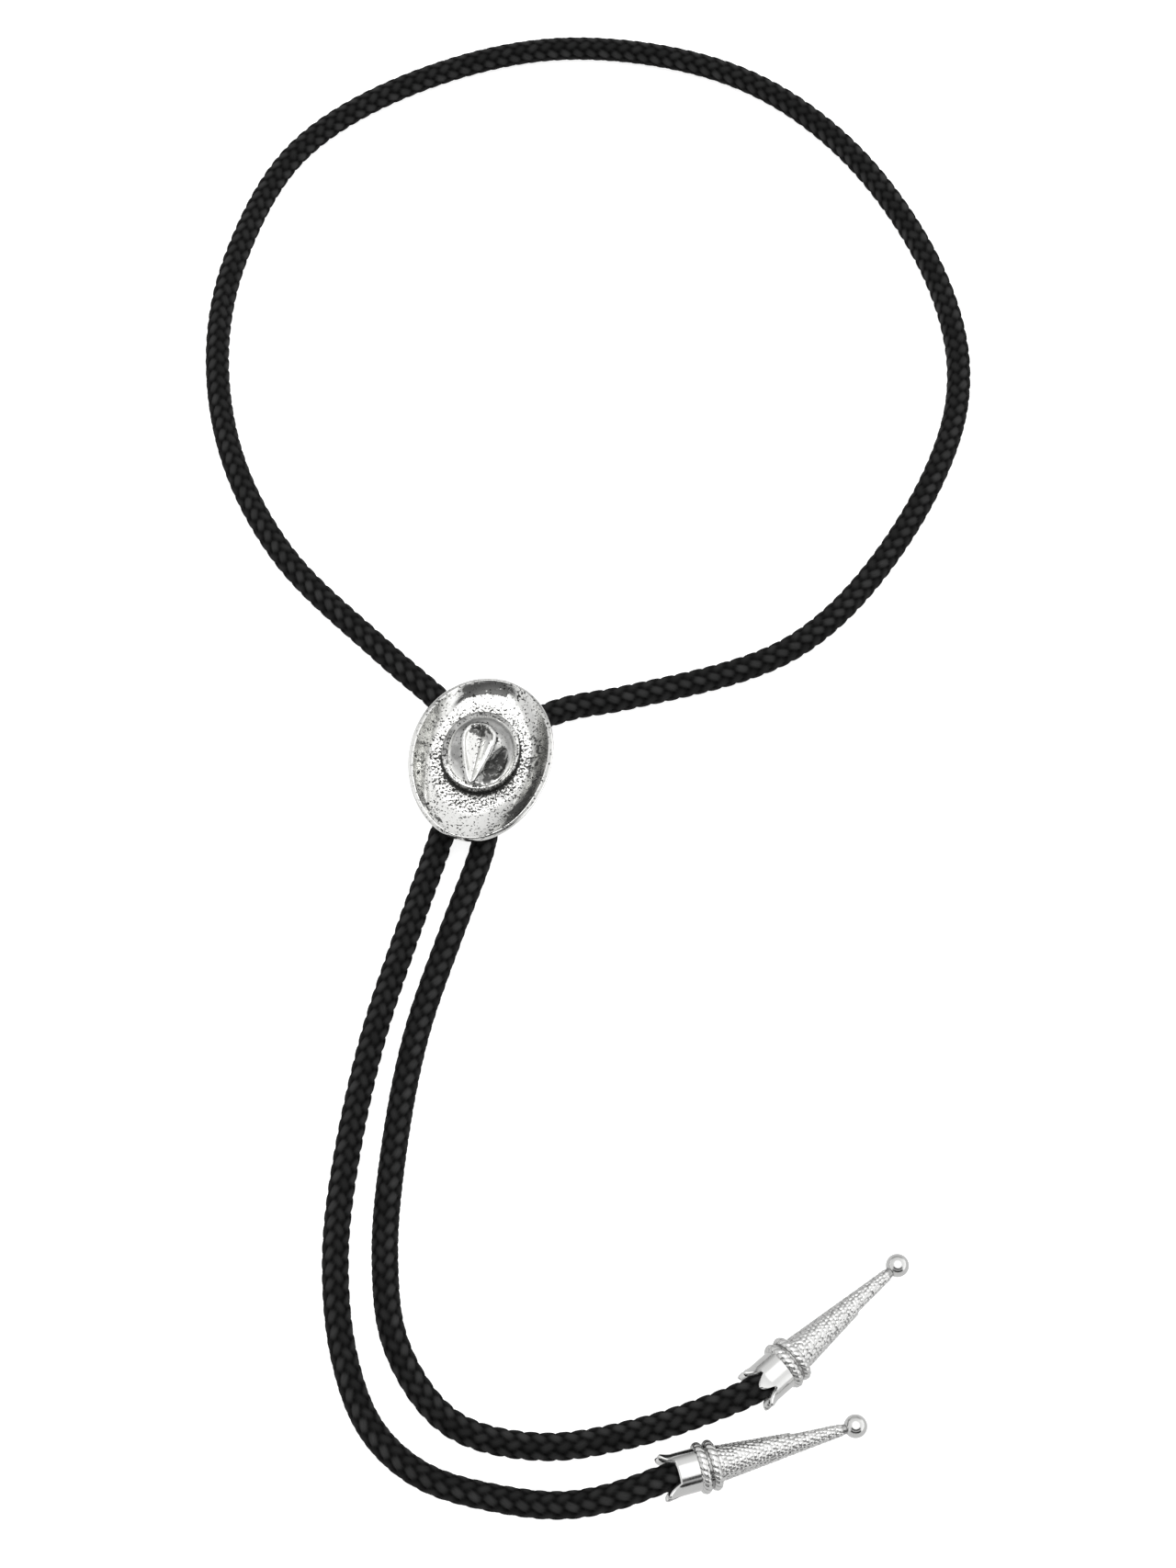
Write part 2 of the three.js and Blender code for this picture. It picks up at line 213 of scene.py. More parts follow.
PELLET_GAP_PAINTED_SHADE = 0.55
TIP_STEPS = 168
TIP_POINTS = {
    "ball": 24, "cone": 180, "ring": 20, "sleeve": 14,
    "prongs": 20, "bevel": 4, "lip": 3, "bore": 8,
}
TIP_SLOPE = math.asin((RING_RADII[0] - BALL_RADIUS) / (BALL_CENTRE - RING_CENTRES[0]))
MOUTH_HEIGHT = RING_RADII[0] + RING_CENTRES[0] * math.sin(TIP_SLOPE)
TIPS = {
    "left_strand_tip": {"mouth": (37.3, -152.5), "heading": 16.3, "roll": 157.0},
    "right_strand_tip": {"mouth": (55.5, -135.6), "heading": 42.1, "roll": -20.0},
}
HELD_DEPTHS = (8.0, 4.6, 1.5)

# The free cord's route, as (x, y, height of its centre)
LEFT_TAIL = [
    (28.5, -155.8, 5.7), (19.0, -157.2, 4.1), (8.0, -156.0, 2.8), (-8.5, -151.4, 2.75),
    (-18.8, -142.4, 2.75), (-24.8, -127.5, 2.75), (-27.2, -107.0, 2.75), (-25.6, -86.0, 2.75),
    (-21.1, -60.6, 2.75), (-14.9, -38.2, 2.75), (-8.8, -18.0, 2.8),
]
NECK_LOOP = [
    (-3.7, 9.9, 3.3), (-7.2, 15.6, 2.8), (-21.2, 29.2, 2.75), (-44.3, 53.7, 2.75),
    (-57.3, 79.7, 2.75), (-62.2, 109.0, 2.75), (-58.9, 136.0, 2.75), (-46.0, 165.4, 2.75),
    (-20.0, 185.4, 2.75), (17.0, 196.3, 2.75), (57.5, 188.6, 2.75), (84.5, 166.6, 2.75),
    (104.8, 127.5, 2.75), (107.6, 95.0, 2.75), (92.0, 57.5, 2.75), (67.7, 30.5, 2.75),
    (31.0, 18.2, 2.75), (18.8, 15.7, 2.8), (9.6, 10.9, 3.3),
]
RIGHT_TAIL = [
    (0.8, -18.0, 2.8), (-5.2, -36.5, 2.75), (-12.2, -60.0, 2.75), (-16.1, -84.7, 2.75),
    (-17.3, -107.8, 2.75), (-14.4, -126.0, 2.75), (-3.5, -141.0, 2.75), (14.0, -145.6, 2.75),
    (32.0, -143.0, 2.9), (47.9, -138.4, 5.4),
]


def linear(hex_colour):
    """Linear RGBA of an sRGB hex colour."""
    channels = [int(hex_colour[i:i + 2], 16) / 255 for i in (1, 3, 5)]
    return tuple(c / 12.92 if c <= 0.04045 else ((c + 0.055) / 1.055) ** 2.4 for c in channels) + (1.0,)


def smooth_step(low, high, value):
    share = np.clip((value - low) / (high - low), 0.0, 1.0)
    return share * share * (3 - 2 * share)


# Camera


def add_camera():
    data = bpy.data.cameras.new("camera")
    data.sensor_fit = "VERTICAL"
    data.sensor_height = SENSOR_HEIGHT
    data.lens = CAMERA_LENS
    data.clip_start = CAMERA_NEAR * MM
    camera = bpy.data.objects.new("camera", data)
    bpy.context.collection.objects.link(camera)
    aim = Vector(CAMERA_AIM) * MM
    back = Vector((0, -math.cos(CAMERA_ELEVATION), math.sin(CAMERA_ELEVATION)))
    camera.location = aim + back * CAMERA_DISTANCE * MM
    camera.rotation_euler = (aim - camera.location).to_track_quat("-Z", "Y").to_euler()
    bpy.context.scene.camera = camera


# Cord


def tip_placement(name):
    """Matrix that takes a tip from its own axis, along X, to where it lies."""
    tip = TIPS[name]
    turn = (
        Matrix.Rotation(math.radians(tip["heading"]), 4, "Z")
        @ Matrix.Rotation(TIP_SLOPE, 4, "Y")
        @ Matrix.Rotation(math.radians(tip["roll"]), 4, "X")
    )
    return Matrix.Translation(Vector((*tip["mouth"], MOUTH_HEIGHT)) * MM) @ turn


def route_points():
    """The cord's whole route in millimetres, from the left tip to the right one."""
    def in_tip(name):
        return [tip_placement(name) @ Vector((depth * MM, 0, 0)) / MM for depth in HELD_DEPTHS]

    def in_channel(side):
        turn = Matrix.Rotation(HAT_TURN, 4, "Z")
        return [turn @ Vector((side * CHANNEL_HALF_SPACING, y, CHANNEL_HEIGHT)) for y in CLIP_PLACES]

    points = in_tip("left_strand_tip") + LEFT_TAIL + in_channel(-1) + NECK_LOOP
    points += in_channel(1)[::-1] + RIGHT_TAIL + in_tip("right_strand_tip")[::-1]
    return np.array([tuple(point) for point in points])


def smooth_curve(points, steps):
    """Points on one smooth curve through all the given points."""
    ends = (2 * points[0] - points[1], 2 * points[-1] - points[-2])
    padded = np.vstack([ends[0], points, ends[1]])
    shares = np.linspace(0, 1, steps, endpoint=False)[:, None]
    stretches = []
    for before, start, end, after in zip(padded, padded[1:], padded[2:], padded[3:]):
        gaps = [math.sqrt(np.linalg.norm(b - a)) for a, b in ((before, start), (start, end), (end, after))]
        leave = ((start - before) / gaps[0] - (end - before) / (gaps[0] + gaps[1])) * gaps[1] + end - start
        arrive = ((after - end) / gaps[2] - (after - start) / (gaps[1] + gaps[2])) * gaps[1] + end - start
        stretches.append(
            (2 * shares**3 - 3 * shares**2 + 1) * start
            + (shares**3 - 2 * shares**2 + shares) * leave
            + (3 * shares**2 - 2 * shares**3) * end
            + (shares**3 - shares**2) * arrive
        )
    return np.vstack([*stretches, points[-1:]])


def evenly_spaced(points, spacing):
    lengths = np.concatenate([[0], np.cumsum(np.linalg.norm(np.diff(points, axis=0), axis=1))])
    count = int(round(lengths[-1] / spacing))
    places = np.linspace(0, lengths[-1], count + 1)
    return np.column_stack([np.interp(places, lengths, points[:, i]) for i in range(3)])


def cord_centres():
    """Ring centres of the cord, a stiff cord's tight turns eased a little."""
    spacing = BRAID_PITCH / RINGS_PER_PITCH
    centres = evenly_spaced(smooth_curve(route_points(), STEPS_PER_STRETCH), spacing)
    for _ in range(STIFFNESS_PASSES):
        centres[1:-1] = (centres[:-2] + 2 * centres[1:-1] + centres[2:]) / 4
    centres[:, 2] = np.maximum(centres[:, 2], CORD_RADIUS)
    return evenly_spaced(centres, spacing)


def cord_frames(centres):
    """Two directions across the cord at each ring, carried along without twist."""
    ahead = np.gradient(centres, axis=0)
    ahead /= np.linalg.norm(ahead, axis=1)[:, None]
    up = np.array([0.0, 0.0, 1.0])
    ups = []
    for direction in ahead:
        up = up - direction * np.dot(up, direction)
        up = up / np.linalg.norm(up)
        ups.append(up)
    ups = np.array(ups)
    return np.cross(ups, ahead), ups


def braid_height(along, around):
    """Height of the braid, from 0 in a gap to 1 on a lump, its place across, and its tone with the painted
    sheen of odd columns.
    """
    column_width = 2 * math.pi * CORD_RADIUS / BRAID_COLUMNS
    shape = np.broadcast(along, around).shape
    height, across_yarn, tone_and_sheen = np.zeros(shape), np.zeros(shape), np.zeros(shape)
    lump_count = int(along.max() / BRAID_PITCH) + 6
    lump_tones = np.random.default_rng(3).random((lump_count, BRAID_COLUMNS))
    column = around / (2 * math.pi) * BRAID_COLUMNS
    for neighbour in (-1, 0, 1):
        index = np.floor(column) + neighbour
        sideways = (column - index - 0.5) * column_width
        odd = np.mod(index, 2)
        lean = np.where(odd > 0, 1.0, -1.0) * LUMP_SLANT
        shift = odd * BRAID_PITCH / 2
        for step in (-1, 0, 1):
            lump = np.floor((along - shift) / BRAID_PITCH) + step
            lengthways = along - shift - (lump + 0.5) * BRAID_PITCH
            u = lengthways * np.cos(lean) + sideways * np.sin(lean)
            v = sideways * np.cos(lean) - lengthways * np.sin(lean)
            fall_along = (np.abs(u) / (LUMP_LENGTH_SHARE * BRAID_PITCH)) ** LUMP_SQUARENESS
            fall_across = (np.abs(v) / (LUMP_WIDTH_SHARE * column_width)) ** LUMP_SQUARENESS
            rise = np.maximum(1 - fall_along - fall_across, 0) ** LUMP_ROUNDNESS
            higher = rise > height
            column_number = np.mod(index, BRAID_COLUMNS).astype(int) + np.zeros(shape, dtype=int)
            chance = lump_tones[lump.astype(int) + 2, column_number]
            # The lump's tone: a random part, plus a painted sheen that makes odd columns lighter
            own_tone_and_sheen = TONE_LOWEST + PAINTED_SHEEN_OF_ODD_COLUMN * odd + TONE_CHANCE * chance
            height = np.where(higher, rise, height)
            across_yarn = np.where(higher, v, across_yarn)
            tone_and_sheen = np.where(higher, own_tone_and_sheen, tone_and_sheen)
    return height, across_yarn, tone_and_sheen


def add_cord():
    centres = cord_centres()
    sideways, ups = cord_frames(centres)
    sides = BRAID_COLUMNS * SIDES_PER_COLUMN
    rings = len(centres)
    around = np.arange(sides) * 2 * math.pi / sides
    along = np.arange(rings) * BRAID_PITCH / RINGS_PER_PITCH
    height, across_yarn, tone_and_sheen = braid_height(along[:, None], around[None, :])
    radius = CORD_RADIUS - BRAID_RELIEF * (1 - height)
    directions = (
        np.cos(around)[None, :, None] * sideways[:, None] + np.sin(around)[None, :, None] * ups[:, None]
    )
    places = (centres[:, None] + directions * radius[:, :, None]).reshape(-1, 3)
    places = np.vstack([places, centres[0], centres[-1]])

    ring, side = np.meshgrid(np.arange(rings - 1), np.arange(sides), indexing="ij")
    after = (side + 1) % sides
    quads = np.stack(
        [ring * sides + side, ring * sides + after, (ring + 1) * sides + after, (ring + 1) * sides + side],
        axis=-1,
    ).reshape(-1, 4)
    first, last = rings * sides, rings * sides + 1
    caps = [(first, (i + 1) % sides, i) for i in range(sides)]
    start = (rings - 1) * sides
    caps += [(last, start + i, start + (i + 1) % sides) for i in range(sides)]

    mesh = bpy.data.meshes.new("braided_cord")
    mesh.from_pydata((places * MM).tolist(), [], quads.tolist() + caps)
    mesh.shade_smooth()
    yarn = mesh.attributes.new("yarn", "FLOAT_VECTOR", "POINT")
    values = np.zeros((len(places), 3))
    values[:-2, 0] = np.repeat(along, sides)
    values[:-2, 1] = across_yarn.reshape(-1)
    values[:-2, 2] = height.reshape(-1)
    yarn.data.foreach_set("vector", values.reshape(-1))
    # Tone attribute: random lump tone plus the painted sheen of odd columns
    lightness_and_sheen = mesh.attributes.new("tone_and_sheen", "FLOAT", "POINT")
    lightness_and_sheen.data.foreach_set("value", np.append(tone_and_sheen.reshape(-1), (0.0, 0.0)))
    cord = bpy.data.objects.new("braided_cord", mesh)
    bpy.context.collection.objects.link(cord)

    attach(cord, "root")
    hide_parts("cord")
    return cord


# Metal pieces


def line(start, end, steps):
    """Points from start up to, but not with, end."""
    return [
        (start[0] + (end[0] - start[0]) * i / steps, start[1] + (end[1] - start[1]) * i / steps)
        for i in range(steps)
    ]


def arc(centre, radius, start, end, steps):
    """Points on an arc from one angle in degrees up to, but not with, another."""
    angles = [math.radians(start + (end - start) * i / steps) for i in range(steps)]
    return [(centre[0] + radius * math.cos(a), centre[1] + radius * math.sin(a)) for a in angles]


def turned_piece(name, outline, steps, axis):
    """Turn an outline of (place along the axis, radius) points once round the axis."""
    along = Vector(axis)
    outward = Vector((0, 1, 0))
    places = [(along * place + outward * radius) * MM for place, radius in outline]
    bpy.ops.object.select_all(action="DESELECT")
    bpy.ops.mesh.primitive_plane_add(size=MM)
    piece = bpy.context.object
    piece.name = name
    piece.data.name = name
    bpy.ops.object.mode_set(mode="EDIT")
    bpy.ops.mesh.merge(type="CENTER")
    bpy.ops.transform.translate(value=places[0])
    for here, there in zip(places, places[1:]):
        bpy.ops.mesh.extrude_vertices_move(TRANSFORM_OT_translate={"value": there - here})
    bpy.ops.mesh.select_all(action="SELECT")
    bpy.ops.mesh.spin(steps=steps, angle=2 * math.pi, center=(0, 0, 0), axis=axis)
    bpy.ops.mesh.select_all(action="SELECT")
    bpy.ops.mesh.remove_doubles(threshold=0.002 * MM)
    bpy.ops.mesh.normals_make_consistent(inside=False)
    bpy.ops.object.mode_set(mode="OBJECT")
    return piece


def vertex_places(piece):
    places = np.empty(len(piece.data.vertices) * 3)
    piece.data.vertices.foreach_get("co", places)
    return places.reshape(-1, 3) / MM


def move_vertices(piece, places):
    piece.data.vertices.foreach_set("co", (places * MM).reshape(-1))
    piece.data.update()


def mark_vertices(piece, name, values):
    mark = piece.data.attributes.new(name, "FLOAT", "POINT")
    mark.data.foreach_set("value", values)


def settle(piece, placement):
    """Put the piece's place in its mesh, and leave its object at the origin."""
    piece.data.transform(placement)
    bpy.ops.object.select_all(action="DESELECT")
    piece.select_set(True)
    bpy.context.view_layer.objects.active = piece
    bpy.ops.object.shade_smooth_by_angle(angle=math.radians(40))


# Hat slide


def drop_outline(share):
    """A drop's half width, from 0 at its point through its widest place to 0 at its back."""
    share = np.clip(share, 0, 1)
    return share**0.8 * np.sqrt(1 - share**5)


def crease_outline():
    """The drop-shaped edge of the crease: a point at the front, round at the back."""
    shares = np.concatenate([np.linspace(0, 0.9, 40), np.linspace(0.91, 1, 16)])
    half_widths = CREASE_HALF_WIDTH * drop_outline(shares) / drop_outline(DROP_WIDEST_SHARE)
    y = CREASE_FRONT + (CREASE_BACK - CREASE_FRONT) * shares
    right = np.column_stack([CREASE_X + half_widths, y])
    left = np.column_stack([CREASE_X - half_widths, y])
    return np.vstack([right, left[::-1]])


def distance_inside(x, y, outline):
    """Distance to a closed outline, positive inside it."""
    ends = np.roll(outline, -1, axis=0)
    nearest = np.full(x.shape, np.inf)
    inside = np.zeros(x.shape, dtype=bool)
    for (x0, y0), (x1, y1) in zip(outline, ends):
        dx, dy = x1 - x0, y1 - y0
        length = dx * dx + dy * dy
        if length == 0:
            continue
        share = np.clip(((x - x0) * dx + (y - y0) * dy) / length, 0, 1)
        nearest = np.minimum(nearest, np.hypot(x - x0 - share * dx, y - y0 - share * dy))
        crosses = (y0 > y) != (y1 > y)
        with np.errstate(divide="ignore", invalid="ignore"):
            reach = x0 + (y - y0) * dx / dy
        inside ^= crosses & (x < reach)
    return np.where(inside, nearest, -nearest)


def leaf(x, y, pinch):
    """A leaf-shaped dent: 1 in its middle, 0 from its edge outwards."""
    lean = math.radians(pinch["lean"])
    aside, ahead = x - pinch["x"] * CROWN_WIDTH, y - pinch["y"] * CROWN_LENGTH
    u = (aside * math.cos(lean) + ahead * math.sin(lean)) / (pinch["half_length"] * CROWN_LENGTH)
    v = (ahead * math.cos(lean) - aside * math.sin(lean)) / (pinch["half_width"] * CROWN_WIDTH)
    return np.maximum(0, 1 - np.abs(u) ** 1.5 - v**2)


def crown_surface(x, y):
    """Height of the crown over the brim, and the places that patina and painted shade mark on it."""
    reach = np.minimum(1, np.hypot(2 * x / CROWN_WIDTH, 2 * y / CROWN_LENGTH))
    slope = smooth_step(-0.5, 0.2, y / CROWN_LENGTH)
    top = CROWN_FRONT_HEIGHT + (CROWN_HEIGHT - CROWN_FRONT_HEIGHT) * slope
    dome = (top - BAND_HEIGHT) * np.sqrt(1 - reach**CROWN_SQUARENESS)
    inside = distance_inside(x, y, crease_outline())
    from_point = (y - CREASE_FRONT) / (CREASE_BACK - CREASE_FRONT)
    width = drop_outline(from_point) / drop_outline(DROP_WIDEST_SHARE)
    crease = np.maximum(0, width - np.abs(x - CREASE_X) / CREASE_HALF_WIDTH)
    on_ridge = np.exp(-((inside / RIDGE_WIDTH) ** 2))
    outside = smooth_step(0.15, -0.5, inside)
    pinches = {name: leaf(x, y, pinch) ** 0.75 * outside for name, pinch in PINCHES.items()}
    dents = CREASE_DEPTH * crease - RIDGE_HEIGHT * on_ridge
    for name, pinch in PINCHES.items():
        dents = dents + pinch["depth"] * CROWN_HEIGHT * pinches[name]
    ridge_gap = np.exp(-(((inside + RIDGE_WIDTH * 1.5) / 0.2) ** 2))
    back_end = smooth_step(0.8, 0.87, from_point) * (inside > 0.25)
    on_side = smooth_step(0.86, 0.97, reach)
    # Right wall of the crease, which gets painted shade
    right_wall = smooth_step(0.0, 0.15, crease) * (x > CREASE_X)
    marks = crease, pinches["right"], ridge_gap, back_end, on_ridge, on_side, right_wall
    return BAND_HEIGHT + dome - dents * np.minimum(1, dome / 2), marks


def hat_outline():
    """The hat's section from the crown's top, out over the brim, and back underneath."""
    top = BRIM_THICKNESS
    crown = CROWN_WIDTH / 2
    band = crown + BAND_WIDTH
    rim = RIM_WIDTH / 2
    band_top = top + BAND_HEIGHT
    hollow = HOLLOW_WIDTH / 2
    count = HAT_POINTS
    outline = []
    for i in range(count["crown"] + 1):
        share = math.sin(math.pi / 2 * i / count["crown"])
        outline.append((band_top + CROWN_HEIGHT * math.sqrt(1 - share**CROWN_SQUARENESS), crown * share))
    outline += line((band_top, crown + 0.1), (band_top, band - BAND_ROUNDING), count["shoulder"])
    shoulder = (band_top - BAND_ROUNDING, band - BAND_ROUNDING)
    outline += arc(shoulder, BAND_ROUNDING, 0, 90, count["shoulder"])
    outline += line((band_top - BAND_ROUNDING, band), (top, band), count["band"])
    outline += line((top, band), (top, rim), count["brim"])
    outline += [(top, rim)]
    outline += arc((top / 2, rim), top / 2, 5, 175, count["rim"])
    outline += line((0, rim), (0, band), count["back"])
    outline += line((0, band), (0, hollow), 4)
    for i in range(count["hollow"]):
        share = math.cos(math.pi / 2 * i / count["hollow"])
        outline.append((HOLLOW_HEIGHT * math.sqrt(1 - share**HOLLOW_SQUARENESS), hollow * share))
    return outline + [(HOLLOW_HEIGHT, 0.0)]


def brim_place(share, across, beyond, angle, band_x, band_y):
    """Where a point of the brim lies once its sides, back and front are rolled up."""
    rim_x, rim_y = RIM_WIDTH / 2 * np.cos(angle), RIM_LENGTH / 2 * np.sin(angle)
    reach = np.hypot(rim_x - band_x, rim_y - band_y)
    out_x, out_y = (rim_x - band_x) / reach, (rim_y - band_y) / reach
    end_roll = np.where(np.sin(angle) > 0, BACK_ROLL, FRONT_ROLL)
    side_share = np.cos(angle) ** 2
    roll = SIDE_ROLL * side_share + end_roll * (1 - side_share)
    rolled = np.maximum(0, share - ROLL_START) / (1 - ROLL_START)
    slope = 2 * roll * rolled / ((1 - ROLL_START) * reach)
    steepness = np.hypot(1, slope)
    lift = BRIM_THICKNESS * (across - 0.5) / steepness
    outwards = reach * share + beyond / steepness - slope * lift
    height = BRIM_THICKNESS / 2 + roll * rolled**2 + lift + beyond * slope / steepness
    return band_x + out_x * outwards, band_y + out_y * outwards, height


def shape_hat(hat):
    """Stretch the turned body to the hat's ovals, roll its brim and press its crown."""
    places = vertex_places(hat)
    radius = np.hypot(places[:, 0], places[:, 1])
    angle = np.arctan2(places[:, 1], places[:, 0])
    height = places[:, 2]
    crown, band, rim = CROWN_WIDTH / 2, CROWN_WIDTH / 2 + BAND_WIDTH, RIM_WIDTH / 2
    cos, sin = np.cos(angle), np.sin(angle)
    middle_x, middle_y = CROWN_CENTRE

    on_crown = (radius < crown + CLOSE) & (height > BRIM_THICKNESS + BAND_HEIGHT - 0.05)
    crown_share = np.minimum(1, radius / crown)
    crown_x, crown_y = CROWN_WIDTH / 2 * crown_share * cos, CROWN_LENGTH / 2 * crown_share * sin
    crown_height, crown_marks = crown_surface(crown_x, crown_y)
    band_x = middle_x + (BAND_RIGHT - BAND_LEFT) / 2 + (CROWN_WIDTH + BAND_LEFT + BAND_RIGHT) / 2 * cos
    band_y = middle_y + (BAND_BACK - BAND_FRONT) / 2 + (CROWN_LENGTH + BAND_BACK + BAND_FRONT) / 2 * sin
    share = np.clip((radius - band) / (rim - band), 0, 1)
    beyond = np.maximum(0, radius - rim) / (BRIM_THICKNESS / 2) * RIM_ROUNDING
    across = np.clip(height / BRIM_THICKNESS, 0, 1)
    brim_x, brim_y, brim_height = brim_place(share, across, beyond, angle, band_x, band_y)

    in_band = (radius < band + CLOSE) & (height > BRIM_THICKNESS + CLOSE) & ~on_crown
    in_hollow = (radius < HOLLOW_WIDTH / 2 + CLOSE) & ~on_crown
    under_band = (radius < band) & ~on_crown & ~in_band & ~in_hollow
    band_share = np.clip((radius - crown) / BAND_WIDTH, 0, 1)
    edge_x, edge_y = middle_x + CROWN_WIDTH / 2 * cos, middle_y + CROWN_LENGTH / 2 * sin
    hollow_x = middle_x + HOLLOW_WIDTH / 2 * cos * np.minimum(1, radius / (HOLLOW_WIDTH / 2))
    hollow_y = middle_y + HOLLOW_LENGTH / 2 * sin * np.minimum(1, radius / (HOLLOW_WIDTH / 2))
    under_share = np.clip((radius - HOLLOW_WIDTH / 2) / (band - HOLLOW_WIDTH / 2), 0, 1)

    kinds = [on_crown, in_band, in_hollow, under_band]
    band_across_x = edge_x + (band_x - edge_x) * band_share
    band_across_y = edge_y + (band_y - edge_y) * band_share
    under_x = hollow_x + (band_x - hollow_x) * under_share
    under_y = hollow_y + (band_y - hollow_y) * under_share
    new_x = np.select(kinds, [middle_x + crown_x, band_across_x, hollow_x, under_x], brim_x)
    new_y = np.select(kinds, [middle_y + crown_y, band_across_y, hollow_y, under_y], brim_y)
    new_height = np.select(kinds, [BRIM_THICKNESS + crown_height, height, height, height], brim_height)
    move_vertices(hat, np.column_stack([new_x, new_y, new_height]))

    top_side = np.where(~in_hollow & ~under_band & (across > 0.4), 1.0, 0.0)
    mark_patina_and_painted_light(hat, top_side, on_crown, in_band, band_share, share, np.degrees(angle), crown_marks)


def bump_between(low, high, edge, value):
    """1 between two places, falling off to 0 over an edge on either side."""
    return smooth_step(low - edge, low + edge, value) * smooth_step(high + edge, high - edge, value)


def mark_patina_and_painted_light(hat, top_side, on_crown, in_band, band_share, share, degrees, crown_marks):
    """Where the dark patina stays: lines, specks, dark patches and a thin grey film; the patches and film
    also carry painted dark reflections, painted shade and painted highlights.
    """
    crease, pinch, ridge_gap, back_end, on_ridge, on_side, right_wall = crown_marks
    on_brim = top_side * ~on_crown * ~in_band
    band_top = in_band * (band_share < 0.95)
    off_ridge = on_crown * (1 - on_ridge)
    past_foot = np.minimum(1, share / FOOT_REACH)
    lines = np.exp(-((band_share / 0.14) ** 2)) * in_band + np.exp(-((past_foot / 0.3) ** 2)) * on_brim
    lines += on_crown * PATINA_AND_PAINTED_LIGHT["ridge_line"] * ridge_gap
    lines += on_crown * PATINA_AND_PAINTED_LIGHT["crease_line"] * smooth_step(0.7, 1.0, crease)
    towards_front = 0.6 + 0.4 * smooth_step(60, -30, degrees)
    specks = on_brim * PATINA_AND_PAINTED_LIGHT["brim_specks"] + in_band * PATINA_AND_PAINTED_LIGHT["band_specks"]
    specks += on_brim * PATINA_AND_PAINTED_LIGHT["foot_specks"] * towards_front * bump_between(*FOOT_SPECKS, share)
    specks += off_ridge * (PATINA_AND_PAINTED_LIGHT["crown_specks"] + PATINA_AND_PAINTED_LIGHT["crease_specks"] * crease)
    patches_and_reflections = on_crown * PATINA_AND_PAINTED_LIGHT["crease_back"] * back_end
    patches_and_reflections += on_crown * PATINA_AND_PAINTED_LIGHT["pinch"] * smooth_step(0.15, 0.5, pinch)
    # Dark reflections of the room, painted as dark patches on the brim
    for painted_reflection in BRIM_PAINTED_REFLECTIONS:
        sector = bump_between(painted_reflection["from"], painted_reflection["to"], painted_reflection["fade"], degrees)
        width = bump_between(painted_reflection["inner"], painted_reflection["outer"], painted_reflection["edge"], share)
        patches_and_reflections += on_brim * painted_reflection["strength"] * sector * width
    outer_brim = on_brim * smooth_step(0.3, 0.5, share)
    # The right side of the outer brim is painted grey: a painted reflection of the darker room
    film_and_painted_shade = outer_brim * PATINA_AND_PAINTED_LIGHT["brim_painted_reflection"] * bump_between(*RIGHT_BRIM_PAINTED_REFLECTION, degrees)
    # The band's top keeps its patina film except where a painted highlight lightens it, on its right and back
    # and along its front edge
    band_painted_highlight = PATINA_AND_PAINTED_LIGHT["band_painted_highlight"] * bump_between(*BAND_PAINTED_HIGHLIGHT, degrees)
    film_and_painted_shade += band_top * (1 - band_painted_highlight) * (1 - bump_between(*BAND_FRONT_PAINTED_HIGHLIGHT, degrees))
    band_face = in_band * (1 - band_top)
    # The band's front face is painted dark: a painted shadow and a painted dark reflection
    film_and_painted_shade += band_face * PATINA_AND_PAINTED_LIGHT["band_face_painted_shade"] * bump_between(*BAND_FACE_PAINTED_SHADE, degrees)
    film_and_painted_shade += off_ridge * PATINA_AND_PAINTED_LIGHT["crown_film"] * (1 - smooth_step(0.0, 0.15, crease)) * (1 - on_side)
    # The right wall of the crease is painted grey while its left wall stays bright: painted shade on one side
    film_and_painted_shade += off_ridge * PATINA_AND_PAINTED_LIGHT["crease_painted_shade"] * right_wall
    marks = {"lines": lines, "specks": specks, "patches_and_reflections": patches_and_reflections, "film_and_painted_shade": film_and_painted_shade}
    for name, values in marks.items():
        mark_vertices(hat, name, np.clip(values * top_side, 0, 1))


def add_hat():
    hat = turned_piece("cast_hat_slide", hat_outline(), HAT_STEPS, (0, 0, 1))
    shape_hat(hat)
    settle(hat, Matrix.Rotation(HAT_TURN, 4, "Z") @ Matrix.Translation(Vector((*HAT_OFFSET, HAT_BASE)) * MM))
    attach(hat, "root")
    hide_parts("hat_slide")
    return hat


# Tips


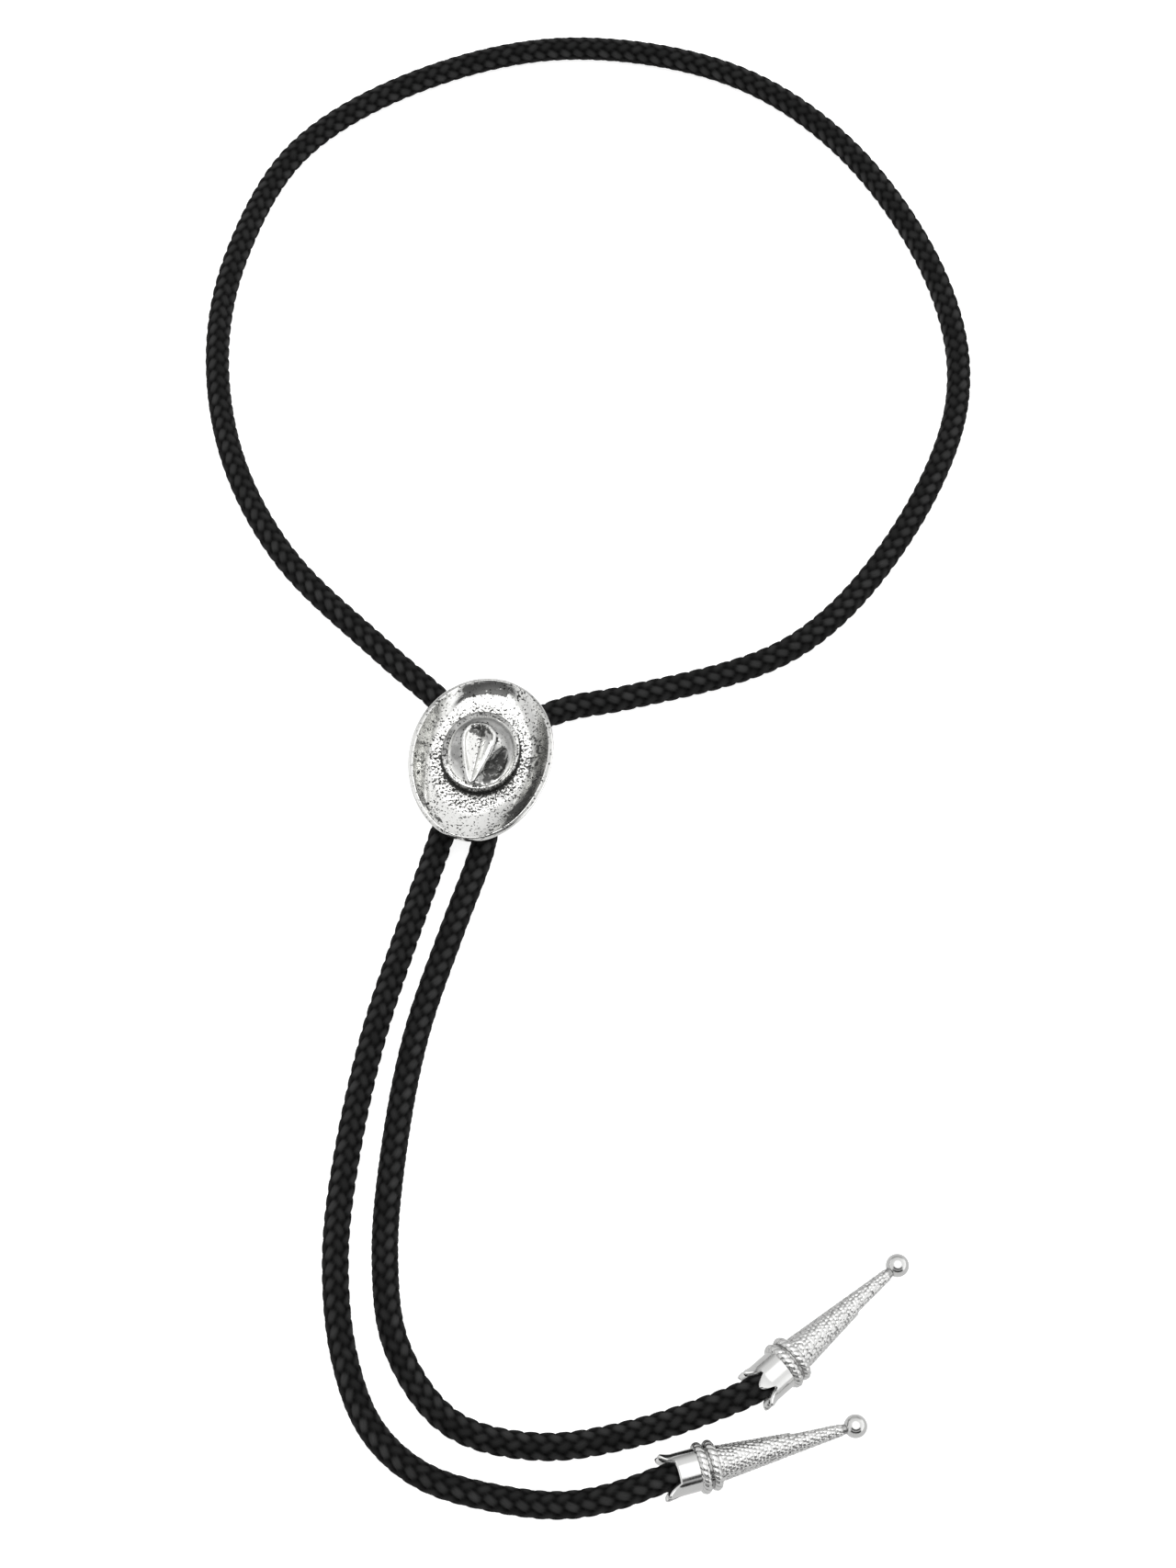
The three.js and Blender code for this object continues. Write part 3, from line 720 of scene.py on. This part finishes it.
def tip_outline():
    """A tip's section from the ball's end to the prongs, and back down the bore."""
    neck = math.degrees(math.asin(CONE_END_RADIUS / BALL_RADIUS))
    cone_end = BALL_CENTRE - BALL_RADIUS * math.cos(math.radians(neck))
    count = TIP_POINTS
    outline = arc((BALL_CENTRE, 0), BALL_RADIUS, 0, 180 - neck, count["ball"])
    outline += line((cone_end, CONE_END_RADIUS), (CONE_START, CONE_START_RADIUS), count["cone"])
    for centre, radius in reversed(list(zip(RING_CENTRES, RING_RADII))):
        outline += arc((centre, radius - RING_WIRE), RING_WIRE, 12, 168, count["ring"])
    root = PRONG_LENGTH + PRONG_ROOT
    bevel_end = SLEEVE_RADIUS - PRONG_BEVEL_DEPTH
    sleeve_start = (RING_CENTRES[0] - RING_WIRE, SLEEVE_RADIUS)
    outline += line(sleeve_start, (root, SLEEVE_RADIUS), count["sleeve"])
    outline += line((root, SLEEVE_RADIUS), (PRONG_BEVEL, SLEEVE_RADIUS), count["prongs"])
    outline += line((PRONG_BEVEL, SLEEVE_RADIUS), (PRONG_LIP, bevel_end), count["bevel"])
    outline += line((0.0, bevel_end - PRONG_LIP_DROP), (PRONG_LIP, BORE_RADIUS), count["lip"])
    outline += line((PRONG_LIP, BORE_RADIUS), (root, BORE_RADIUS), count["prongs"])
    outline += line((root, BORE_RADIUS), (BORE_DEPTH, BORE_RADIUS), count["bore"])
    return outline + [(BORE_DEPTH, BORE_RADIUS), (BORE_DEPTH, 0.0)]


def pellet_rise(along, angle):
    """Height of the cone's small round pellets, which lie in offset rings."""
    jitter = np.random.default_rng(7)
    rise = np.zeros(along.shape)
    cone_end = BALL_CENTRE - BALL_RADIUS
    ring = CONE_START + PELLET_SPACING / 2
    offset = 0.0
    while ring < cone_end - 0.3:
        share = (ring - CONE_START) / (cone_end - CONE_START)
        radius = CONE_START_RADIUS + (CONE_END_RADIUS - CONE_START_RADIUS) * share
        count = max(6, round(2 * math.pi * radius / PELLET_SPACING))
        near = np.abs(along - ring) < PELLET_SPACING
        for index in range(count):
            place = ring + jitter.uniform(-PELLET_SHIFT, PELLET_SHIFT)
            turn = 2 * math.pi * (index + offset + jitter.uniform(-PELLET_TURN, PELLET_TURN)) / count
            size = PELLET_RADIUS * jitter.uniform(*PELLET_SIZES)
            sideways = (np.mod(angle[near] - turn + math.pi, 2 * math.pi) - math.pi) * radius
            distance = (sideways**2 + (along[near] - place) ** 2) / size**2
            rise[near] = np.maximum(rise[near], PELLET_HEIGHT * np.sqrt(np.maximum(0, 1 - distance)))
        ring += PELLET_SPACING * PELLET_ROW_SHARE
        offset = 0.5 - offset
    return rise


def prong_edge(angle):
    """How far the mouth's edge is cut back: 0 at each prong's point."""
    aside = np.full(angle.shape, math.pi)
    for prong in range(PRONG_COUNT):
        turn = np.mod(angle - 2 * math.pi * prong / PRONG_PLACES, 2 * math.pi)
        aside = np.minimum(aside, np.minimum(turn, 2 * math.pi - turn))
    return PRONG_LENGTH * np.minimum(1, aside / PRONG_HALF_ANGLE) ** PRONG_ROUNDING


def shape_tip(piece):
    places = vertex_places(piece)
    along = places[:, 0]
    radius = np.hypot(places[:, 1], places[:, 2])
    angle = np.arctan2(places[:, 2], places[:, 1])
    new_along, new_radius = along.copy(), radius.copy()
    gaps = np.zeros(along.shape)

    # Twisted wire on the two rings
    for centre, reach in zip(RING_CENTRES, RING_RADII):
        middle = reach - RING_WIRE
        on_ring = (np.abs(along - centre) < RING_WIRE * 0.99) & (radius > middle + 0.15)
        turn = np.arctan2(radius - middle, along - centre)
        phase = np.mod(ROPE_LUMPS * angle / (2 * math.pi) + ROPE_SLANT * turn, 1)
        bulge = np.sqrt(np.maximum(0, 1 - (2 * phase - 1) ** 2))
        thickness = RING_WIRE * (1 - ROPE_DEPTH + ROPE_DEPTH * bulge)
        new_along = np.where(on_ring, centre + thickness * np.cos(turn), new_along)
        new_radius = np.where(on_ring, middle + thickness * np.sin(turn), new_radius)
        # Painted shade in the rope's grooves between its lumps
        gaps = np.where(on_ring, (1 - bulge) ** 2.5, gaps)

    # Pellets, and the small step on one side of the cone
    cone_end = BALL_CENTRE - BALL_RADIUS
    on_cone = (along > CONE_START) & (along < cone_end + 0.3) & (radius < CONE_START_RADIUS)
    after_step = smooth_step(CONE_STEP_PLACE - 0.25, CONE_STEP_PLACE + 0.25, along)
    step_share = after_step * smooth_step(cone_end, CONE_STEP_PLACE, along)
    one_side = np.clip(np.cos(angle - CONE_STEP_SIDE), 0, 1) ** 2
    rise = pellet_rise(along, angle)
    new_radius = np.where(on_cone, new_radius + rise - CONE_STEP_DEPTH * step_share * one_side, new_radius)
    flatness = 1 - smooth_step(0.0, 0.4, rise / PELLET_HEIGHT)
    # Painted shade over the flat cone between the pellets
    gaps = np.where(on_cone, PELLET_GAP_PAINTED_SHADE * flatness, gaps)
    between_rings = (RING_CENTRES[0] + RING_CENTRES[1]) / 2
    # Painted shade in the groove between the two rings
    gaps = np.maximum(gaps, np.exp(-(((along - between_rings) / 0.2) ** 2)) * (radius > CONE_START_RADIUS))

    # Prongs: the gaps between them cut back the edge, and their points lean out
    root = PRONG_LENGTH + PRONG_ROOT
    shift = np.clip((root - along) / (root - PRONG_BEVEL), 0, 1)
    in_prongs = along < root
    new_along = np.where(in_prongs, along + prong_edge(angle) * shift, new_along)
    lean = PRONG_FLARE * np.maximum(0, 1 - new_along / PRONG_LENGTH) ** 1.5
    new_radius = np.where(in_prongs, new_radius + lean, new_radius)

    places = np.column_stack([new_along, new_radius * np.cos(angle), new_radius * np.sin(angle)])
    move_vertices(piece, places)
    # The gaps attribute holds painted shade for the grooves and gaps
    mark_vertices(piece, "gaps", gaps)


def add_tip(name):
    tip = turned_piece("cast_" + name, tip_outline(), TIP_STEPS, (1, 0, 0))
    shape_tip(tip)
    settle(tip, tip_placement(name))
    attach(tip, "root")
    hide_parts(name)
    return tip


# Materials


def add_node(tree, kind, settings=(), **links):
    """Add a node, set its properties and input values, and link its inputs."""
    node = tree.nodes.new(kind)
    for name, value in dict(settings).items():
        if isinstance(name, int) or name in node.inputs:
            node.inputs[name].default_value = value
        else:
            setattr(node, name, value)
    for name, source in links.items():
        tree.links.new(source, node.inputs[name.replace("_", " ")])
    return node


def new_material(name):
    material = bpy.data.materials.new(name)
    material.use_nodes = True
    material.node_tree.nodes.clear()
    return material, material.node_tree


def finish_material(tree, shader):
    output = add_node(tree, "ShaderNodeOutputMaterial")
    tree.links.new(shader.outputs[0], output.inputs["Surface"])


def ramp(tree, source, stops):
    """A colour ramp from a list of (place, colour or grey) stops."""
    node = add_node(tree, "ShaderNodeValToRGB", Fac=source)
    elements = node.color_ramp.elements
    while len(elements) < len(stops):
        elements.new(0.5)
    for element, (place, colour) in zip(elements, stops):
        element.position = place
        element.color = colour if isinstance(colour, tuple) else (colour, colour, colour, 1.0)
    return node.outputs["Color"]


def add_math(tree, operation, first, second, third=None):
    """A Math node from sockets or plain numbers."""
    node = add_node(tree, "ShaderNodeMath", {"operation": operation})
    for index, value in enumerate((first, second, third)):
        if isinstance(value, (int, float)):
            node.inputs[index].default_value = value
        elif value is not None:
            tree.links.new(value, node.inputs[index])
    return node.outputs[0]


def mix_colours(tree, share, first, second):
    """Mix two colours, each given as a hex colour, linear values or a socket."""
    node = add_node(tree, "ShaderNodeMix", {"data_type": "RGBA"})
    tree.links.new(share, node.inputs[0])
    for index, colour in ((6, first), (7, second)):
        if isinstance(colour, str):
            node.inputs[index].default_value = linear(colour)
        elif isinstance(colour, tuple):
            node.inputs[index].default_value = colour
        else:
            tree.links.new(colour, node.inputs[index])
    return node.outputs[2]


def attribute(tree, name):
    return add_node(tree, "ShaderNodeAttribute", {"attribute_name": name})


def braided_polyester():
    # Black spun polyester braid: matt, with a painted highlight making the lump tops grey, painted shade
    # making the gaps black between them, and fine yarn lines
    material, tree = new_material("black braided polyester")
    place = add_node(tree, "ShaderNodeTexCoord").outputs["Object"]
    yarn = attribute(tree, "yarn").outputs["Vector"]
    height = add_node(tree, "ShaderNodeSeparateXYZ", Vector=yarn).outputs["Z"]
    tone_and_sheen = attribute(tree, "tone_and_sheen").outputs["Fac"]
    # Fuzz in cells of 0.9 mm. The yarn attribute is in mm, so the threads are 1.7 mm long, 0.14 mm apart
    fuzz = add_node(tree, "ShaderNodeTexNoise", {"Scale": 1100.0, "Detail": 4.0}, Vector=place)
    fuzz = fuzz.outputs["Fac"]
    stretched = add_node(
        tree, "ShaderNodeVectorMath", {"operation": "MULTIPLY", 1: (0.6, 7.0, 0.0)}, Vector=yarn,
    ).outputs[0]
    threads = add_node(tree, "ShaderNodeTexNoise", {"Scale": 1.0, "Detail": 2.0}, Vector=stretched)
    threads = threads.outputs["Fac"]
    # Painted highlight and shade by height: lump tops lighter, gaps between the lumps near black
    painted_top_light = add_math(tree, "POWER", height, 4.4)
    lightness_and_sheen = add_math(tree, "MULTIPLY", tone_and_sheen, add_math(tree, "ADD", threads, 0.45))
    # Lump colour, lighter on odd columns as a painted sheen
    lump = mix_colours(tree, lightness_and_sheen, "#080808", "#343434")
    colour = mix_colours(tree, painted_top_light, "#020202", lump)
    relief = add_math(tree, "ADD", threads, fuzz)
    bump = add_node(tree, "ShaderNodeBump", {"Strength": 0.4, "Distance": 0.1 * MM}, Height=relief)
    shader = add_node(
        tree, "ShaderNodeBsdfPrincipled", {"Roughness": 0.75, "Specular IOR Level": 0.09},
        Normal=bump.outputs["Normal"],
    )
    tree.links.new(colour, shader.inputs["Base Color"])
    finish_material(tree, shader)
    return material


def antique_silver():
    # Silver-plated casting, polished over a dark patina that stays in recesses and pores, with painted dark
    # reflections, shade and highlights carried in the patch and film attributes
    material, tree = new_material("antique silver plate")
    place = add_node(tree, "ShaderNodeTexCoord").outputs["Object"]
    lines, specks, patches_and_reflections, film_and_painted_shade = (
        attribute(tree, name).outputs["Fac"] for name in ("lines", "specks", "patches_and_reflections", "film_and_painted_shade")
    )

    def noise(scale, detail, roughness=0.5):
        settings = {"Scale": scale, "Detail": detail, "Roughness": roughness}
        return add_node(tree, "ShaderNodeTexNoise", settings, Vector=place).outputs["Fac"]

    # Scale is cells in a metre: pits in cells of 0.5 mm, in clusters of 2 mm, blotches of 1.1 mm,
    # and a film that varies over 3 mm
    pits = add_math(tree, "MULTIPLY_ADD", specks, 0.2, noise(2000.0, 4.0, 0.6))
    pits = add_math(tree, "MULTIPLY_ADD", lines, 0.24, pits)
    # Blotches: patina patches on the crown, and painted dark reflections on the brim
    blotches = add_math(tree, "MULTIPLY_ADD", patches_and_reflections, 0.42, noise(900.0, 5.0, 0.6))
    cloud = noise(330.0, 3.0)
    pits = add_math(tree, "MULTIPLY_ADD", noise(520.0, 2.0), 0.25, add_math(tree, "SUBTRACT", pits, 0.125))
    pitted = ramp(tree, pits, [(0.68, 0.0), (0.72, 1.0)])
    blotched = ramp(tree, blotches, [(0.74, 0.0), (0.79, 0.85)])
    dark = add_math(tree, "MAXIMUM", pitted, blotched)
    # The film colour darkens both the patina film and the painted reflections and shade
    filmed_and_shaded = add_math(tree, "MULTIPLY", film_and_painted_shade, ramp(tree, cloud, [(0.3, 0.65), (0.6, 1.0)]))
    colour = mix_colours(tree, filmed_and_shaded, "#e8e8e6", "#767675")
    colour = mix_colours(tree, dark, colour, "#363635")
    rough = add_math(tree, "MULTIPLY_ADD", dark, 0.3, add_math(tree, "MULTIPLY_ADD", filmed_and_shaded, 0.12, 0.13))
    relief = add_math(tree, "MULTIPLY_ADD", pitted, -0.25, add_math(tree, "MULTIPLY", cloud, 0.8))
    bump = add_node(tree, "ShaderNodeBump", {"Strength": 0.35, "Distance": 0.1 * MM}, Height=relief)
    shader = add_node(
        tree, "ShaderNodeBsdfPrincipled", {"Metallic": 1.0}, Roughness=rough, Normal=bump.outputs["Normal"],
    )
    tree.links.new(colour, shader.inputs["Base Color"])
    finish_material(tree, shader)
    return material


def silver_plate():
    # Bright silver plate over a die casting: almost a mirror, with a faint orange-peel skin
    # in cells of 1.4 mm, and painted shade darkening the grooves and gaps
    material, tree = new_material("bright silver plate")
    place = add_node(tree, "ShaderNodeTexCoord").outputs["Object"]
    skin = add_node(tree, "ShaderNodeTexNoise", {"Scale": 700.0, "Detail": 3.0}, Vector=place)
    rough = ramp(tree, skin.outputs["Fac"], [(0.35, 0.12), (0.7, 0.22)])
    settings = {"Strength": 0.2, "Distance": 0.03 * MM}
    bump = add_node(tree, "ShaderNodeBump", settings, Height=skin.outputs["Fac"])
    shader = add_node(
        tree, "ShaderNodeBsdfPrincipled", {"Metallic": 1.0}, Roughness=rough, Normal=bump.outputs["Normal"],
    )
    # Painted shade darkens the grooves and gaps
    colour = mix_colours(tree, attribute(tree, "gaps").outputs["Fac"], "#d4d4d3", "#5c5c5b")
    tree.links.new(colour, shader.inputs["Base Color"])
    finish_material(tree, shader)
    return material


def brushed_steel():
    # Plain steel clip, brushed along the channels: soft grey with fine straight lines,
    # 0.17 mm apart and 3.3 mm long
    material, tree = new_material("brushed clip steel")
    place = add_node(tree, "ShaderNodeTexCoord").outputs["Object"]
    turned = add_node(tree, "ShaderNodeMapping", Vector=place)
    turned.inputs["Rotation"].default_value = (0, 0, -HAT_TURN)
    turned.inputs["Scale"].default_value = (6000, 300, 6000)
    lines = add_node(tree, "ShaderNodeTexNoise", {"Scale": 1.0, "Detail": 2.0}, Vector=turned.outputs[0])
    rough = ramp(tree, lines.outputs["Fac"], [(0.3, 0.32), (0.7, 0.48)])
    settings = {"Strength": 0.3, "Distance": 0.02 * MM}
    bump = add_node(tree, "ShaderNodeBump", settings, Height=lines.outputs["Fac"])
    shader = add_node(
        tree, "ShaderNodeBsdfPrincipled", {"Metallic": 1.0, "Base Color": linear("#b4b5b6")},
        Roughness=rough, Normal=bump.outputs["Normal"],
    )
    finish_material(tree, shader)
    return material


def white_table():
    # Matt white acrylic, lit softly from below. Polished metal sees it as a plain pale grey
    material, tree = new_material("lit white acrylic table")
    lit = add_node(
        tree, "ShaderNodeBsdfPrincipled",
        {"Base Color": linear("#b4b4b4"), "Roughness": 0.8, "Emission Color": linear("#ffffff"),
         "Emission Strength": 0.85},
    )
    mirrored = add_node(tree, "ShaderNodeEmission", {"Color": linear("#e2e2e2")})
    in_mirror = add_node(tree, "ShaderNodeLightPath").outputs["Is Glossy Ray"]
    shader = add_node(tree, "ShaderNodeMixShader")
    for index, source in enumerate((in_mirror, lit.outputs[0], mirrored.outputs[0])):
        tree.links.new(source, shader.inputs[index])
    finish_material(tree, shader)
    return material


def dress(piece, material):
    piece.data.materials.clear()
    piece.data.materials.append(material)


# Studio


def add_table():
    bpy.ops.object.select_all(action="DESELECT")
    bpy.ops.mesh.primitive_plane_add(size=TABLE_SIZE * MM)
    table = bpy.context.object
    table.name = "table"
    dress(table, white_table())


def add_softbox():
    data = bpy.data.lights.new("overhead softbox", "AREA")
    data.shape = "SQUARE"
    data.size = SOFTBOX_SIZE * MM
    data.energy = SOFTBOX_POWER
    light = bpy.data.objects.new("overhead softbox", data)
    bpy.context.collection.objects.link(light)
    light.location = Vector(SOFTBOX_PLACE) * MM
    light.rotation_euler = (-light.location).to_track_quat("-Z", "Y").to_euler()


def add_surroundings():
    """A pale room, with the darker parts that polished silver shows."""
    world = bpy.data.worlds.new("studio")
    world.use_nodes = True
    tree = world.node_tree
    tree.nodes.clear()
    direction = add_node(tree, "ShaderNodeTexCoord").outputs["Generated"]
    parts = add_node(tree, "ShaderNodeSeparateXYZ", Vector=direction)
    across, ahead, height = (parts.outputs[axis] for axis in "XYZ")

    def blend(part, limits):
        settings = {"From Min": limits[0], "From Max": limits[1]}
        return add_node(tree, "ShaderNodeMapRange", settings, Value=part).outputs[0]

    left, right, back, front = (ramp(tree, height, sky) for sky in (LEFT_SKY, RIGHT_SKY, BACK_SKY, FRONT_SKY))
    room = mix_colours(tree, blend(across, LEFT_TO_RIGHT), left, right)
    room = mix_colours(tree, blend(ahead, BACK_BLEND), room, back)
    middle = ramp(tree, add_math(tree, "ABSOLUTE", across, None), FRONT_HALF_WIDTH)
    front_share = add_math(tree, "MULTIPLY", blend(ahead, FRONT_BLEND), middle)
    room = mix_colours(tree, front_share, room, front)
    settings = {"operation": "DOT_PRODUCT", 1: PANEL_DIRECTION}
    towards = add_node(tree, "ShaderNodeVectorMath", settings, Vector=direction)
    room = mix_colours(tree, ramp(tree, towards.outputs["Value"], PANEL_EDGE), room, PANEL_BRIGHTNESS)
    seen = add_node(tree, "ShaderNodeLightPath").outputs["Is Camera Ray"]
    backdrop = mix_colours(tree, seen, room, "#ffffff")
    shade = add_node(tree, "ShaderNodeBackground", {"Strength": 1.0}, Color=backdrop)
    output = add_node(tree, "ShaderNodeOutputWorld")
    tree.links.new(shade.outputs[0], output.inputs["Surface"])
    bpy.context.scene.world = world


def main():
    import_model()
    add_camera()
    dress(add_cord(), braided_polyester())
    dress(add_hat(), antique_silver())
    plate = silver_plate()
    for name in TIPS:
        dress(add_tip(name), plate)
    bpy.data.objects["cord_clip"].material_slots[0].material = brushed_steel()
    add_table()
    add_softbox()
    add_surroundings()
    bpy.context.scene.view_settings.view_transform = "Standard"


main()
